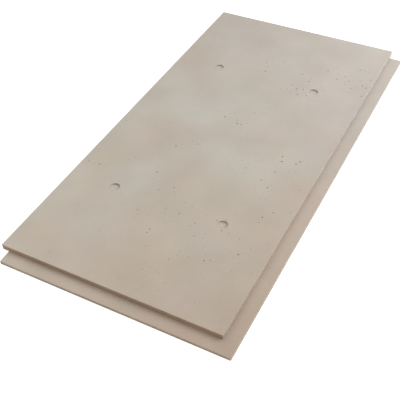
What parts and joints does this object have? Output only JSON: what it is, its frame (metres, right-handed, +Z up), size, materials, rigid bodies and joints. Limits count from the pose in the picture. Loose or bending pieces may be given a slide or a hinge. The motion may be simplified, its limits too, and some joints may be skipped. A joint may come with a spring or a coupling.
{
  "type": "faux concrete wall panel",
  "caption": "Flat rectangular faux concrete cladding panel with shiplap lips and overhangs on its edges and round form-tie recesses in its face.",
  "frame": {"origin": "centre of the overall outline, on the underside", "axes": "+Z up through the face, +Y along the long side towards the far overhang, +X along the short side towards the right lip"},
  "size_m": [0.6292, 1.2388, 0.022],
  "materials": {
    "concrete_look_moulding": "matt concrete-look coating on moulded rigid polyurethane foam"
  },
  "bodies": {
    "root": {"wall_panel": "concrete_look_moulding"}
  },
  "joints": []
}
